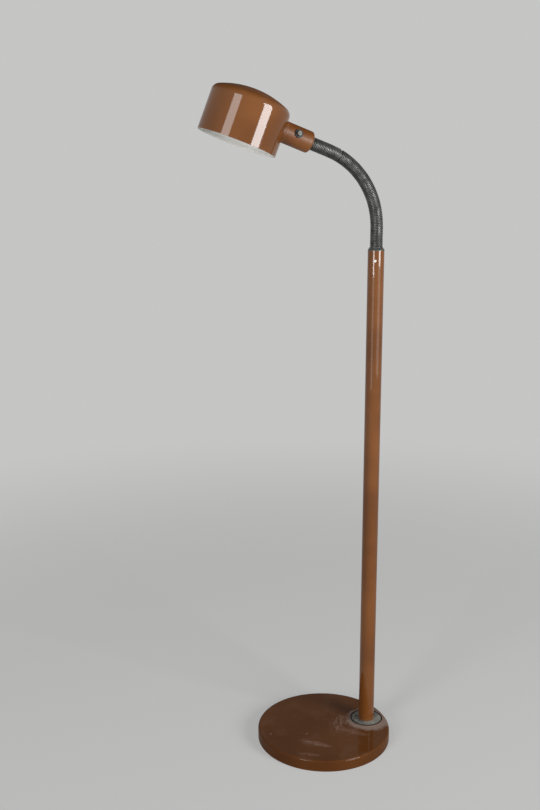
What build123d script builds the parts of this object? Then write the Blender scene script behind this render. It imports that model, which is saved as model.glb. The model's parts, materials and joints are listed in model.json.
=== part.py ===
from build123d import *
import os
from math import asin, cos, degrees, radians, sin, sqrt

# A reading floor lamp with a gooseneck, in millimetres. The origin is on the floor
# under the middle of the base, +Z is up and the shade hangs over -X.

# Overall sizes
total_height = 1320.8  # floor to the highest point of the shade
base_radius = 137.0
base_height = 24.0
pole_offset = 96.0  # middle of the base to the pole's axis

# Base
cover_wall = 1.2
cover_edge = 4.0  # rounding of the top edge
skirt_lift = 1.0  # the skirt ends this far above the floor
felt_thickness = 2.0
felt_margin = 3.2  # felt stops short of the skirt
plate_thickness = 1.2
plate_gap = 0.5  # plate to the inside of the skirt
weight_gap = 8.5  # iron weight to the inside of the skirt
weight_recess_radius = 58.0
weight_recess_depth = 12.0
weight_chamfer = 2.0
plate_screw_count = 3
plate_screw_circle = 98.0  # radius the screws stand on
plate_screw_radius = 2.0
plate_screw_head = 3.9
plate_screw_length = 11.0
screw_hole_gap = 0.15

# Foot of the pole
foot_hole_radius = 34.0  # hole in the cover round the foot
foot_lip_height = 1.2  # rolled lip round that hole
foot_lip_width = 2.6
foot_flange_gap = 2.0  # flange to the edge of the hole
foot_flange_edge = 2.0  # height of the flange's rim
foot_flange_height = 3.0  # height of the flange under the pole
nipple_radius = 5.0  # hollow threaded rods in the foot and in the head
nipple_bore = 3.4
nipple_gap = 0.05
foot_nipple_end = 5.5  # lower end of the foot's rod above the floor
foot_plug_length = 25.0
foot_nut_flats = 17.0
foot_nut_height = 6.0
foot_washer_radius = 12.0
foot_washer_height = 1.5
foot_pocket_radius = 15.0
foot_pocket_height = 15.5  # roof of the nut's pocket above the floor

# Cord inlet
inlet_height = 11.0
inlet_bore = 3.3
inlet_neck = 5.0
inlet_rim = 7.0
inlet_rim_width = 2.0
inlet_gap = 0.1
cord_slot_width = 9.0

# Pole
pole_radius = 15.875
pole_wall = 1.5
plug_gap = 0.08  # what is pressed into the pole

# Lead inside the lamp
lead_radius = 3.0
lead_bore = 4.2
lead_gap = 0.3  # between the leads' ends

# Gooseneck: straight above the pole, then bent over, then straight to the collar
neck_bend_radius = 153.0
neck_turn = 68.5  # degrees from upright to the direction of the collar
foot_links = 2  # below the bend
bent_links = 9
head_links = 1  # above the bend
ridges_per_link = 5
ridge_crest = 12.3  # radius over the ridges
ridge_root = 10.7  # radius between them
ridge_flank = 0.75  # run of a ridge's sloping side along the neck
ridge_gap = 2.9  # between the crests of two ridges
ball_radius = 9.0
ball_floor = 6.0  # the ball is cut flat this far below its middle
ball_gap = 0.15
socket_lip = 3.0  # a socket reaches this far past the middle of its ball
end_ridges = 3  # on the neck's end piece
end_shoulder = 1.4  # plain ring at the collar

# Ferrule between pole and neck
ferrule_height = 5.5  # above the pole
ferrule_top = 12.6  # radius at its upper edge
ferrule_rim = 1.0
spigot_length = 34.0
spigot_bore = 8.0
set_screw_drop = 19.0  # below the top of the pole
set_screw_turn = 27.0  # degrees round the pole, from -Y towards -X
set_screw_radius = 2.4
set_screw_depth = 5.2
set_screw_key = 1.2

# Shade
shade_radius = 74.0
shade_height = 99.0
shade_corner = 14.0
shade_dome = 165.0  # radius of the domed top
shade_wall = 0.9
shade_hem = 4.5  # height of the folded edge round the mouth
shade_hem_wall = 1.0

# Collar, the tube that holds the lampholder and the switch
collar_radius = 20.0
collar_length = 57.0  # its end to the wall of the shade
collar_height = 50.0  # its axis above the mouth of the shade
collar_wall = 1.2
collar_edge = 5.0
collar_flare = 3.0
seat_gap = 0.1  # between pieces that are seated on one another
neck_nut_flats = 26.0
neck_nut_height = 6.0
neck_nipple_depth = 9.0  # how deep the head's threaded rod enters the neck end

# Lampholder and bulb
holder_radius = 17.0
holder_back = 13.0  # behind the wall of the shade
holder_front = 14.0  # in front of it
holder_floor = 5.0
holder_lip = 2.0
shell_radius = 14.0
shell_wall = 0.45
holder_nut_flats = 14.0
holder_nut_height = 3.5
shade_washer_radius = 23.0
shade_washer_step = 5.0  # washer's flat face in front of the shade's wall
shade_ring_radius = 21.0
shade_ring_height = 4.0
contact_radius = 4.0
contact_height = 1.2
cap_radius = 13.2
cap_length = 24.0
bulb_tip_radius = 4.5
bulb_tip_height = 1.2
bulb_radius = 30.0
bulb_length = 110.0
bulb_neck = 13.0
bulb_neck_run = 6.0
bulb_wall = 0.8

# Push switch
switch_reach = 24.0  # from the wall of the shade
switch_rise = 15.0  # degrees above the collar's side
switch_box = 14.4
switch_depth = 9.9
switch_room = 0.466  # from the box's upper edges to the collar's wall
switch_floor_wall = 1.0
bushing_radius = 6.1
bushing_stand = 2.0  # heights above the collar's skin
bezel_stand = 2.8
button_stand = 6.0
button_radius = 4.8
button_gap = 0.1
button_flange = 5.9
button_flange_height = 1.5
button_room = 0.3  # flange to the box round it and over it
button_travel = 3.0
button_play = 1.0
bezel_radius = 7.6
bezel_gap = 0.15

# Worked out from the sizes above
plate_bottom = felt_thickness
weight_bottom = plate_bottom + plate_thickness
weight_top = base_height - cover_wall
skirt_inside = base_radius - cover_wall
pole_bottom = weight_top + foot_flange_height
pole_inside = pole_radius - pole_wall
plug_radius = pole_inside - plug_gap
shade_tilt = 90 - neck_turn
link_count = foot_links + bent_links + head_links
bend_length = radians(neck_turn) * neck_bend_radius
link_pitch = bend_length / bent_links
ridge_pitch = link_pitch / ridges_per_link
ridge_width = ridge_pitch - ridge_gap
socket_radius = ball_radius + ball_gap
joint_height = ferrule_height - socket_lip  # middle of the first ball above the pole
link_start = socket_lip + ridge_gap  # from the middle of a link's ball to its first ridge
end_length = link_start + end_ridges * ridge_pitch + end_shoulder

# Distances along the neck, from the middle of its first ball
bend_start = foot_links * link_pitch
bend_stop = bend_start + bend_length
neck_span = link_count * link_pitch
neck_length = neck_span + end_length


def shade_rise():
    # How far the shade reaches above the collar's end, at the shade's tilt.
    across = collar_length + shade_radius
    lean = degrees(asin((shade_radius - shade_corner) / (shade_dome - shade_corner)))
    if shade_tilt < lean:
        centre = shade_height - shade_dome - collar_height
        radius = shade_dome
    else:
        centre = corner_height(shade_height, shade_radius, shade_corner, shade_dome) - collar_height
        across += shade_radius - shade_corner
        radius = shade_corner
    tilt = radians(shade_tilt)
    return across * sin(tilt) + centre * cos(tilt) + radius


def corner_height(height, radius, corner, dome):
    # The middle of a cup's rounded corner, above its mouth.
    return height - dome + sqrt((dome - corner) ** 2 - (radius - corner) ** 2)


neck_lean = radians(neck_turn)
neck_rise = bend_start + neck_bend_radius * sin(neck_lean) + (neck_length - bend_stop) * cos(neck_lean)
pole_top = total_height - shade_rise() - neck_rise - joint_height
neck_foot = pole_top + joint_height
bend_middle = Vector(pole_offset - neck_bend_radius, 0, neck_foot + bend_start)
pole_axis = Axis((pole_offset, 0, 0), (0, 0, 1))
pole_section = Plane(origin=(pole_offset, 0, 0), x_dir=(1, 0, 0), z_dir=(0, -1, 0))


def in_bend(distance):
    # The nearest place in the bend to a place along the neck.
    return min(max(distance, bend_start), bend_stop)


def neck_angle(distance):
    return (in_bend(distance) - bend_start) / neck_bend_radius


def neck_direction(distance):
    return Vector(-sin(neck_angle(distance)), 0, cos(neck_angle(distance)))


def neck_outward(distance):
    # Away from the middle of the bend.
    return Vector(cos(neck_angle(distance)), 0, sin(neck_angle(distance)))


def neck_point(distance):
    past = neck_direction(distance) * (distance - in_bend(distance))
    return bend_middle + neck_outward(distance) * neck_bend_radius + past


def neck_plane(distance):
    # Square to the neck, with x away from the middle of the bend.
    x_dir = neck_outward(distance)
    return Plane(origin=neck_point(distance), x_dir=x_dir, z_dir=neck_direction(distance))


def neck_section(distance):
    # Along the neck, for profiles of (radius, distance along).
    return Plane(origin=neck_point(distance), x_dir=neck_outward(distance), z_dir=(0, -1, 0))


def neck_axis(distance):
    return Axis(neck_point(distance), neck_direction(distance))


def neck_path(start, stop):
    # The neck's centre line between two places: straight, bent, straight.
    corners = [mark for mark in (bend_start, bend_stop) if start < mark < stop]
    ends = [start, *corners, stop]
    with BuildLine() as drawn:
        for near, far in zip(ends, ends[1:]):
            middle = (near + far) / 2
            if bend_start < middle < bend_stop:
                ThreePointArc(neck_point(near), neck_point(middle), neck_point(far))
            else:
                Line(neck_point(near), neck_point(far))
    return drawn.line


# The head is laid out from the collar's end: its axis runs to the shade.
head_plane = neck_plane(neck_length)
head_section = neck_section(neck_length)
head_axis = neck_axis(neck_length)
shade_way = neck_direction(neck_length)
shade_up = neck_outward(neck_length)
shade_reach = collar_length + shade_radius
mouth_centre = neck_point(neck_length) + shade_way * shade_reach - shade_up * collar_height
mouth_plane = Plane(origin=mouth_centre, x_dir=shade_way, z_dir=shade_up)
shade_section = Plane(origin=mouth_centre, x_dir=shade_way, z_dir=(0, 1, 0))
shade_axis = Axis(mouth_centre, shade_up)


def outline(plane, points):
    # A closed outline of straight lines, drawn on a plane.
    with BuildSketch(plane) as drawn:
        with BuildLine():
            Polyline(*points, close=True)
        make_face()
    return drawn.sketch


def ring(plane, inner, outer, start, stop):
    # The section of a plain ring, to be turned about the plane's y.
    return outline(plane, [(inner, start), (outer, start), (outer, stop), (inner, stop)])


os.makedirs("parts", exist_ok=True)


# Base: a pressed steel cover over an iron weight, closed by a plate and felt.
def plate_screw_outline(gap):
    head = plate_screw_head + gap
    shank = plate_screw_radius + gap
    bottom = plate_bottom
    top = plate_bottom + plate_screw_length + gap
    return [(0, bottom), (head, bottom), (shank, bottom + head - shank), (shank, top), (0, top)]


plate_screw_places = PolarLocations(plate_screw_circle, plate_screw_count, start_angle=60)


def cut_plate_screws():
    for place in plate_screw_places.locations:
        at = place.position
        plane = Plane(origin=at, x_dir=(1, 0, 0), z_dir=(0, -1, 0))
        hole = outline(plane, plate_screw_outline(screw_hole_gap))
        revolve(hole, axis=Axis(at, (0, 0, 1)), mode=Mode.SUBTRACT)


with BuildPart() as base_cover:
    with BuildSketch(Plane.XZ):
        with BuildLine():
            Line((0, weight_top), (0, base_height))
            Line((0, base_height), (base_radius - cover_edge, base_height))
            CenterArc((base_radius - cover_edge, base_height - cover_edge), cover_edge, 0, 90)
            Line((base_radius, base_height - cover_edge), (base_radius, skirt_lift))
            Line((base_radius, skirt_lift), (skirt_inside, skirt_lift))
            Line((skirt_inside, skirt_lift), (skirt_inside, base_height - cover_edge))
            CenterArc(
                (base_radius - cover_edge, base_height - cover_edge),
                cover_edge - cover_wall,
                0,
                90,
            )
            Line((base_radius - cover_edge, weight_top), (0, weight_top))
        make_face()
    revolve(axis=Axis.Z)
    lip_outside = foot_hole_radius + foot_lip_width
    lip = outline(
        pole_section,
        [
            (foot_hole_radius, weight_top),
            (lip_outside, weight_top),
            (lip_outside, base_height),
            (foot_hole_radius + foot_lip_width / 2, base_height + foot_lip_height),
            (foot_hole_radius, base_height + foot_lip_height),
        ],
    )
    revolve(lip, axis=pole_axis)
    with BuildSketch(Plane(origin=(pole_offset, 0, weight_top))):
        Circle(foot_hole_radius)
    extrude(amount=cover_wall + foot_lip_height, mode=Mode.SUBTRACT)
    with BuildSketch(Plane(origin=(0, 0, inlet_height), z_dir=(1, 0, 0))):
        Circle(inlet_neck + inlet_gap)
    extrude(amount=base_radius, mode=Mode.SUBTRACT)
base_cover.part.label = "base_cover"
export_step(base_cover.part, "parts/base_cover.step")

with BuildPart() as base_weight:
    with BuildSketch(Plane.XY.offset(weight_bottom)):
        Circle(skirt_inside - weight_gap)
    extrude(amount=weight_top - weight_bottom)
    chamfer(base_weight.edges().filter_by(GeomType.CIRCLE), length=weight_chamfer)
    with BuildSketch(Plane.XY.offset(weight_bottom)):
        Circle(weight_recess_radius)
    extrude(amount=weight_recess_depth, mode=Mode.SUBTRACT)
    with BuildSketch(Plane.XY.offset(weight_bottom)):
        with Locations((pole_offset, 0)):
            Circle(foot_pocket_radius)
        with Locations((pole_offset, 0)):
            Rectangle(base_radius, cord_slot_width, align=(Align.MIN, Align.CENTER))
    extrude(amount=foot_pocket_height - weight_bottom, mode=Mode.SUBTRACT)
    with Locations((pole_offset, 0, weight_top)):
        Hole(nipple_radius + nipple_gap)
    cut_plate_screws()
base_weight.part.label = "base_weight"
export_step(base_weight.part, "parts/base_weight.step")

with BuildPart() as base_plate:
    with BuildSketch(Plane.XY.offset(plate_bottom)):
        Circle(skirt_inside - plate_gap)
        with Locations((pole_offset, 0)):
            Circle(foot_pocket_radius, mode=Mode.SUBTRACT)
    extrude(amount=plate_thickness)
    cut_plate_screws()
base_plate.part.label = "base_plate"
export_step(base_plate.part, "parts/base_plate.step")

with BuildPart() as base_felt:
    with BuildSketch():
        Circle(base_radius - felt_margin)
    extrude(amount=felt_thickness)
base_felt.part.label = "base_felt"
export_step(base_felt.part, "parts/base_felt.step")

with BuildPart() as plate_screws:
    for place in plate_screw_places.locations:
        at = place.position
        plane = Plane(origin=at, x_dir=(1, 0, 0), z_dir=(0, -1, 0))
        revolve(outline(plane, plate_screw_outline(0)), axis=Axis(at, (0, 0, 1)))
plate_screws.part.label = "plate_screws"
export_step(plate_screws.part, "parts/plate_screws.step")

# The cord would come in through a rubber grommet in the skirt, behind the pole.
inlet_section = Plane(origin=(0, 0, inlet_height), x_dir=(0, 0, 1), z_dir=(0, 1, 0))
inlet_axis = Axis((0, 0, inlet_height), (1, 0, 0))
inlet_inside = sqrt(skirt_inside**2 - inlet_rim**2) - inlet_gap
inlet_outside = base_radius + inlet_gap

with BuildPart() as cord_grommet:
    rubber = outline(
        inlet_section,
        [
            (inlet_bore, inlet_inside - inlet_rim_width),
            (inlet_rim - 1, inlet_inside - inlet_rim_width),
            (inlet_rim, inlet_inside - inlet_rim_width / 2),
            (inlet_rim, inlet_inside),
            (inlet_neck, inlet_inside),
            (inlet_neck, inlet_outside),
            (inlet_rim, inlet_outside),
            (inlet_rim, inlet_outside + inlet_rim_width / 2),
            (inlet_rim - 1, inlet_outside + inlet_rim_width),
            (inlet_bore, inlet_outside + inlet_rim_width),
        ],
    )
    revolve(rubber, axis=inlet_axis)
cord_grommet.part.label = "cord_grommet"
export_step(cord_grommet.part, "parts/cord_grommet.step")

# Foot: a rough flange under the pole, held down by a hollow threaded rod.
with BuildPart() as foot_flange:
    disc = outline(
        pole_section,
        [
            (nipple_radius + nipple_gap, weight_top),
            (foot_hole_radius - foot_flange_gap, weight_top),
            (foot_hole_radius - foot_flange_gap, weight_top + foot_flange_edge),
            (pole_radius, pole_bottom),
            (nipple_radius + nipple_gap, pole_bottom),
        ],
    )
    revolve(disc, axis=pole_axis)
    rim = foot_flange.edges().filter_by(GeomType.CIRCLE).group_by(SortBy.RADIUS)[-1]
    fillet(rim.sort_by(Axis.Z)[-1], radius=foot_flange_edge * 0.6)
foot_flange.part.label = "foot_flange"
export_step(foot_flange.part, "parts/foot_flange.step")

with BuildPart() as foot_plug:
    with BuildSketch(Plane(origin=(pole_offset, 0, pole_bottom))):
        Circle(plug_radius)
        Circle(nipple_radius + nipple_gap, mode=Mode.SUBTRACT)
    extrude(amount=foot_plug_length)
    circles = foot_plug.edges().filter_by(GeomType.CIRCLE)
    chamfer(circles.group_by(SortBy.RADIUS)[-1], length=1)
foot_plug.part.label = "foot_plug"
export_step(foot_plug.part, "parts/foot_plug.step")

with BuildPart() as foot_nipple:
    with BuildSketch(Plane(origin=(pole_offset, 0, foot_nipple_end))):
        Circle(nipple_radius)
        Circle(nipple_bore, mode=Mode.SUBTRACT)
    extrude(amount=pole_bottom + foot_plug_length - foot_nipple_end)
foot_nipple.part.label = "foot_nipple"
export_step(foot_nipple.part, "parts/foot_nipple.step")

with BuildPart() as foot_washer:
    with BuildSketch(Plane(origin=(pole_offset, 0, foot_pocket_height - foot_washer_height))):
        Circle(foot_washer_radius)
        Circle(nipple_radius + nipple_gap, mode=Mode.SUBTRACT)
    extrude(amount=foot_washer_height)
foot_washer.part.label = "foot_washer"
export_step(foot_washer.part, "parts/foot_washer.step")

foot_nut_bottom = foot_pocket_height - foot_washer_height - foot_nut_height
with BuildPart() as foot_nut:
    with BuildSketch(Plane(origin=(pole_offset, 0, foot_nut_bottom))):
        RegularPolygon(foot_nut_flats / 2, 6, major_radius=False)
        Circle(nipple_radius + nipple_gap, mode=Mode.SUBTRACT)
    extrude(amount=foot_nut_height)
foot_nut.part.label = "foot_nut"
export_step(foot_nut.part, "parts/foot_nut.step")


# Pole: a straight tube, with the gooseneck's ferrule pushed into its top.
set_way = Vector(-sin(radians(set_screw_turn)), -cos(radians(set_screw_turn)), 0)
set_screw_at = Vector(pole_offset, 0, pole_top - set_screw_drop)
set_screw_plane = Plane(origin=set_screw_at, x_dir=(0, 0, 1), z_dir=set_way)

with BuildPart() as pole_tube:
    with BuildSketch(Plane(origin=(pole_offset, 0, pole_bottom))):
        Circle(pole_radius)
        Circle(pole_inside, mode=Mode.SUBTRACT)
    extrude(amount=pole_top - pole_bottom)
    with BuildSketch(set_screw_plane):
        Circle(set_screw_radius + screw_hole_gap)
    extrude(amount=2 * pole_radius, mode=Mode.SUBTRACT)
pole_tube.part.label = "pole_tube"
export_step(pole_tube.part, "parts/pole_tube.step")

spigot_bottom = pole_top - spigot_length
spigot_hollow_top = neck_foot - socket_radius - 2 * pole_wall
with BuildPart() as neck_ferrule:
    turned = outline(
        pole_section,
        [
            (lead_bore, spigot_hollow_top),
            (spigot_bore, spigot_hollow_top - spigot_bore + lead_bore),
            (spigot_bore, spigot_bottom),
            (plug_radius, spigot_bottom),
            (plug_radius, pole_top),
            (pole_radius, pole_top),
            (pole_radius, pole_top + ferrule_rim),
            (ferrule_top, pole_top + ferrule_height),
            (lead_bore, pole_top + ferrule_height),
        ],
    )
    revolve(turned, axis=pole_axis)
    with Locations(neck_plane(0)):
        Sphere(socket_radius, mode=Mode.SUBTRACT)
    with BuildSketch(set_screw_plane):
        Circle(set_screw_radius + screw_hole_gap)
    extrude(amount=2 * pole_radius, mode=Mode.SUBTRACT)
neck_ferrule.part.label = "neck_ferrule"
export_step(neck_ferrule.part, "parts/neck_ferrule.step")

with BuildPart() as pole_set_screw:
    with BuildSketch(set_screw_plane.offset(pole_radius - set_screw_depth)):
        Circle(set_screw_radius)
    extrude(amount=set_screw_depth)
    with BuildSketch(set_screw_plane.offset(pole_radius)):
        RegularPolygon(set_screw_key, 6, major_radius=False)
    extrude(amount=-set_screw_depth / 2, mode=Mode.SUBTRACT)
pole_set_screw.part.label = "pole_set_screw"
export_step(pole_set_screw.part, "parts/pole_set_screw.step")

lead_break = neck_foot - socket_radius - 1
with BuildPart() as pole_lead:
    with BuildSketch(Plane(origin=(pole_offset, 0, foot_nipple_end))):
        Circle(lead_radius)
    extrude(amount=lead_break - foot_nipple_end)
pole_lead.part.label = "pole_lead"
export_step(pole_lead.part, "parts/pole_lead.step")


# Gooseneck: ridged lengths in a row, each with a hollow ball in the socket before it.
ball_cut = degrees(asin(ball_floor / ball_radius))
ball_reach = degrees(asin((link_start + ridge_flank) / ball_radius))


def ridge_outline(distance, start, below, above):
    # One ridge, whose crest starts this far along from the section's place. Its
    # sloping sides run on into the tube that carries it.
    inside = ridge_root - ridge_flank
    slope = (ridge_crest - inside) / (ridge_crest - ridge_root)
    stop = start + ridge_width
    return outline(
        neck_section(distance),
        [
            (inside, start - below * slope),
            (ridge_crest, start),
            (ridge_crest, stop),
            (inside, stop + above * slope),
        ],
    )


def add_ridges(first, count):
    # The first ridge is flat towards the ball, and the others slope both ways.
    revolve(ridge_outline(first, 0, 0, ridge_flank), axis=neck_axis(first))
    for number in range(1, count):
        middle = first + number * ridge_pitch + ridge_width / 2
        ridge = ridge_outline(middle, -ridge_width / 2, ridge_flank, ridge_flank)
        revolve(ridge, axis=neck_axis(middle))


def add_ball(distance):
    with Locations(neck_plane(distance)):
        Sphere(ball_radius, arc_size1=-ball_cut, arc_size2=ball_reach, align=None)


for number in range(link_count):
    ball = number * link_pitch
    socket = ball + link_pitch
    first = ball + link_start
    last = socket + socket_lip
    with BuildPart() as neck_link:
        with BuildSketch(neck_plane(first)):
            Circle(ridge_root)
        sweep(path=neck_path(first, last))
        add_ridges(first, ridges_per_link - 1)
        revolve(ridge_outline(last, -ridge_width, ridge_flank, 0), axis=neck_axis(last))
        add_ball(ball)
        with Locations(neck_plane(socket)):
            Sphere(socket_radius, mode=Mode.SUBTRACT)
        with BuildSketch(neck_plane(ball - ball_radius)):
            Circle(lead_bore)
        sweep(path=neck_path(ball - ball_radius, last), mode=Mode.SUBTRACT)
    neck_link.part.label = f"neck_link_{number + 1:02d}"
    export_step(neck_link.part, f"parts/{neck_link.part.label}.step")

with BuildPart() as neck_lead:
    with BuildSketch(neck_plane(lead_break - neck_foot)):
        Circle(lead_radius)
    sweep(path=neck_path(lead_break - neck_foot, neck_span))
neck_lead.part.label = "neck_lead"
export_step(neck_lead.part, "parts/neck_lead.step")

# The neck's end is screwed into the collar: a last ball, ridges, a shoulder and a thread.
end_start = link_start - end_length
neck_end_back = collar_wall + neck_nut_height + neck_nipple_depth / 2
neck_thread = ridge_root - seat_gap
with BuildPart() as neck_end:
    shoulder = outline(
        head_section,
        [
            (0, end_start),
            (ridge_root, end_start),
            (ridge_root, -end_shoulder),
            (ridge_crest, -end_shoulder),
            (ridge_crest, 0),
            (neck_thread, 0),
            (neck_thread, neck_end_back),
            (0, neck_end_back),
        ],
    )
    revolve(shoulder, axis=head_axis)
    add_ridges(neck_span + link_start, end_ridges)
    add_ball(neck_span)
    with BuildSketch(neck_plane(neck_span - ball_radius)):
        Circle(lead_bore)
    extrude(amount=2 * end_length, mode=Mode.SUBTRACT)
    with BuildSketch(head_plane.offset(neck_end_back - neck_nipple_depth)):
        Circle(nipple_radius + nipple_gap)
    extrude(amount=neck_nipple_depth, mode=Mode.SUBTRACT)
neck_end.part.label = "neck_end"
export_step(neck_end.part, "parts/neck_end.step")


# Head: a cup-shaped shade on a short tube that holds lampholder and switch.
def cup_section(gap):
    # Half the section of the domed cup, this far inside its outer skin.
    radius = shade_radius - gap
    height = shade_height - gap
    corner = shade_corner - gap
    dome = shade_dome - gap
    middle = corner_height(height, radius, corner, dome)
    lean = degrees(asin((radius - corner) / (dome - corner)))
    with BuildSketch(shade_section) as half:
        with BuildLine():
            Line((0, 0), (radius, 0))
            Line((radius, 0), (radius, middle))
            CenterArc((radius - corner, middle), corner, 0, 90 - lean)
            CenterArc((0, height - dome), dome, 90 - lean, lean)
            Line((0, height), (0, 0))
        make_face()
    return half.sketch


def hem_section():
    outer = shade_radius - shade_wall / 2
    inner = shade_radius - shade_wall - shade_hem_wall
    return ring(shade_section, inner, outer, 0, shade_hem)


with BuildPart() as shade:
    revolve(cup_section(0), axis=shade_axis)
    revolve(cup_section(shade_wall), axis=shade_axis, mode=Mode.SUBTRACT)
    revolve(hem_section(), axis=shade_axis)
    with BuildSketch(head_plane.offset(collar_length - collar_flare)):
        Circle(holder_radius + seat_gap)
    extrude(amount=2 * collar_flare + shade_radius / 2, mode=Mode.SUBTRACT)
shade.part.label = "shade"
export_step(shade.part, "parts/shade.step")


def collar_section(gap):
    # Half the section of the collar, this far inside its outer skin. Its mouth
    # runs past the shade's wall, which is then cut out of it.
    radius = collar_radius - gap
    edge = collar_edge - gap
    flare = collar_length - collar_flare
    past = collar_length + collar_radius / 2
    with BuildSketch(head_section) as half:
        with BuildLine():
            Line((0, gap), (radius - edge, gap))
            CenterArc((radius - edge, gap + edge), edge, -90, 90)
            Line((radius, gap + edge), (radius, flare))
            if gap:
                Line((radius, flare), (radius, past))
                Line((radius, past), (0, past))
            else:
                CenterArc((radius + collar_flare, flare), collar_flare, 180, -90)
                Line((radius + collar_flare, flare + collar_flare), (radius + collar_flare, past))
                Line((radius + collar_flare, past), (0, past))
            Line((0, past), (0, gap))
        make_face()
    return half.sketch


switch_turn = radians(switch_rise)
switch_way = shade_up * sin(switch_turn) - Vector(0, 1, 0) * cos(switch_turn)
switch_middle = neck_point(neck_length) + shade_way * (collar_length - switch_reach)
switch_plane = Plane(origin=switch_middle, x_dir=shade_way, z_dir=switch_way)

with BuildPart() as collar:
    revolve(collar_section(0), axis=head_axis)
    revolve(collar_section(collar_wall), axis=head_axis, mode=Mode.SUBTRACT)
    with BuildSketch(mouth_plane):
        Circle(shade_radius + seat_gap)
    extrude(amount=shade_height, mode=Mode.SUBTRACT)
    with BuildSketch(head_plane):
        Circle(ridge_root + seat_gap)
    extrude(amount=collar_wall, mode=Mode.SUBTRACT)
    with BuildSketch(switch_plane):
        Circle(bushing_radius + seat_gap)
    extrude(amount=2 * collar_radius, mode=Mode.SUBTRACT)
collar.part.label = "collar"
export_step(collar.part, "parts/collar.step")

with BuildPart() as neck_nut:
    with BuildSketch(head_plane.offset(collar_wall)):
        RegularPolygon(neck_nut_flats / 2, 6, major_radius=False)
        Circle(ridge_root, mode=Mode.SUBTRACT)
    extrude(amount=neck_nut_height)
neck_nut.part.label = "neck_nut"
export_step(neck_nut.part, "parts/neck_nut.step")

holder_start = collar_length - holder_back
holder_stop = collar_length + holder_front
holder_inside = holder_start + holder_floor
with BuildPart() as lampholder:
    body = outline(
        head_section,
        [
            (nipple_radius + nipple_gap, holder_start),
            (holder_radius - holder_lip, holder_start),
            (holder_radius, holder_start + holder_lip),
            (holder_radius, holder_stop - holder_lip / 2),
            (holder_radius - holder_lip / 2, holder_stop),
            (shell_radius + seat_gap / 2, holder_stop),
            (shell_radius + seat_gap / 2, holder_inside),
            (nipple_radius + nipple_gap, holder_inside),
        ],
    )
    revolve(body, axis=head_axis)
lampholder.part.label = "lampholder"
export_step(lampholder.part, "parts/lampholder.step")

with BuildPart() as lampholder_shell:
    sleeve = ring(
        head_section,
        shell_radius - shell_wall,
        shell_radius,
        holder_inside + seat_gap,
        holder_stop - holder_lip / 2,
    )
    revolve(sleeve, axis=head_axis)
lampholder_shell.part.label = "lampholder_shell"
export_step(lampholder_shell.part, "parts/lampholder_shell.step")

with BuildPart() as lampholder_contact:
    with BuildSketch(head_plane.offset(holder_inside)):
        SlotOverall(2.6 * contact_radius, 2 * contact_radius)
    extrude(amount=contact_height)
lampholder_contact.part.label = "lampholder_contact"
export_step(lampholder_contact.part, "parts/lampholder_contact.step")

with BuildPart() as head_nipple:
    with BuildSketch(head_plane.offset(neck_end_back - neck_nipple_depth)):
        Circle(nipple_radius)
        Circle(nipple_bore, mode=Mode.SUBTRACT)
    extrude(amount=holder_inside - neck_end_back + neck_nipple_depth)
head_nipple.part.label = "head_nipple"
export_step(head_nipple.part, "parts/head_nipple.step")

with BuildPart() as lampholder_nut:
    with BuildSketch(head_plane.offset(holder_start - holder_nut_height)):
        RegularPolygon(holder_nut_flats / 2, 6, major_radius=False)
        Circle(nipple_radius + nipple_gap, mode=Mode.SUBTRACT)
    extrude(amount=holder_nut_height)
lampholder_nut.part.label = "lampholder_nut"
export_step(lampholder_nut.part, "parts/lampholder_nut.step")

with BuildPart() as head_lead:
    with BuildSketch(head_plane.offset(lead_gap - end_length)):
        Circle(lead_radius)
    extrude(amount=holder_inside + end_length - lead_gap)
head_lead.part.label = "head_lead"
export_step(head_lead.part, "parts/head_lead.step")

# Inside the shade a saddle washer and a ring nut clamp the wall to the collar.
washer_face = collar_length + shade_wall + shade_washer_step
with BuildPart() as shade_washer:
    saddle = ring(
        head_section, holder_radius + seat_gap, shade_washer_radius, collar_length, washer_face
    )
    revolve(saddle, axis=head_axis)
    inside = ring(
        shade_section,
        shade_radius - shade_wall - seat_gap,
        shade_radius + shade_washer_radius,
        0,
        shade_height,
    )
    revolve(inside, axis=shade_axis, mode=Mode.SUBTRACT)
shade_washer.part.label = "shade_washer"
export_step(shade_washer.part, "parts/shade_washer.step")

with BuildPart() as shade_ring:
    with BuildSketch(head_plane.offset(washer_face)):
        Circle(shade_ring_radius)
        Circle(holder_radius + seat_gap, mode=Mode.SUBTRACT)
    extrude(amount=shade_ring_height)
    outside = shade_ring.edges().filter_by(GeomType.CIRCLE).group_by(SortBy.RADIUS)[-1]
    chamfer(outside, length=shade_ring_height / 5)
shade_ring.part.label = "shade_ring"
export_step(shade_ring.part, "parts/shade_ring.step")

# Bulb: a screw cap in the shell, its tip on the contact, and a pear-shaped glass.
tip_start = holder_inside + contact_height + seat_gap
cap_start = tip_start + bulb_tip_height
cap_stop = cap_start + cap_length
with BuildPart() as bulb_tip:
    with BuildSketch(head_plane.offset(tip_start)):
        Circle(bulb_tip_radius)
    extrude(amount=bulb_tip_height)
bulb_tip.part.label = "bulb_tip"
export_step(bulb_tip.part, "parts/bulb_tip.step")

cap_taper = cap_radius / 3
with BuildPart() as bulb_cap:
    shell = outline(
        head_section,
        [
            (0, cap_start),
            (cap_radius - cap_taper, cap_start),
            (cap_radius, cap_start + cap_taper / 2),
            (cap_radius, cap_stop),
            (0, cap_stop),
        ],
    )
    revolve(shell, axis=head_axis)
bulb_cap.part.label = "bulb_cap"
export_step(bulb_cap.part, "parts/bulb_cap.step")

globe_middle = tip_start + bulb_length - bulb_radius
bulb_waist = cap_stop + bulb_neck_run
waist_to_globe = globe_middle - bulb_waist
shoulder_radius = (bulb_neck**2 + waist_to_globe**2 - bulb_radius**2) / (2 * (bulb_radius - bulb_neck))


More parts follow.
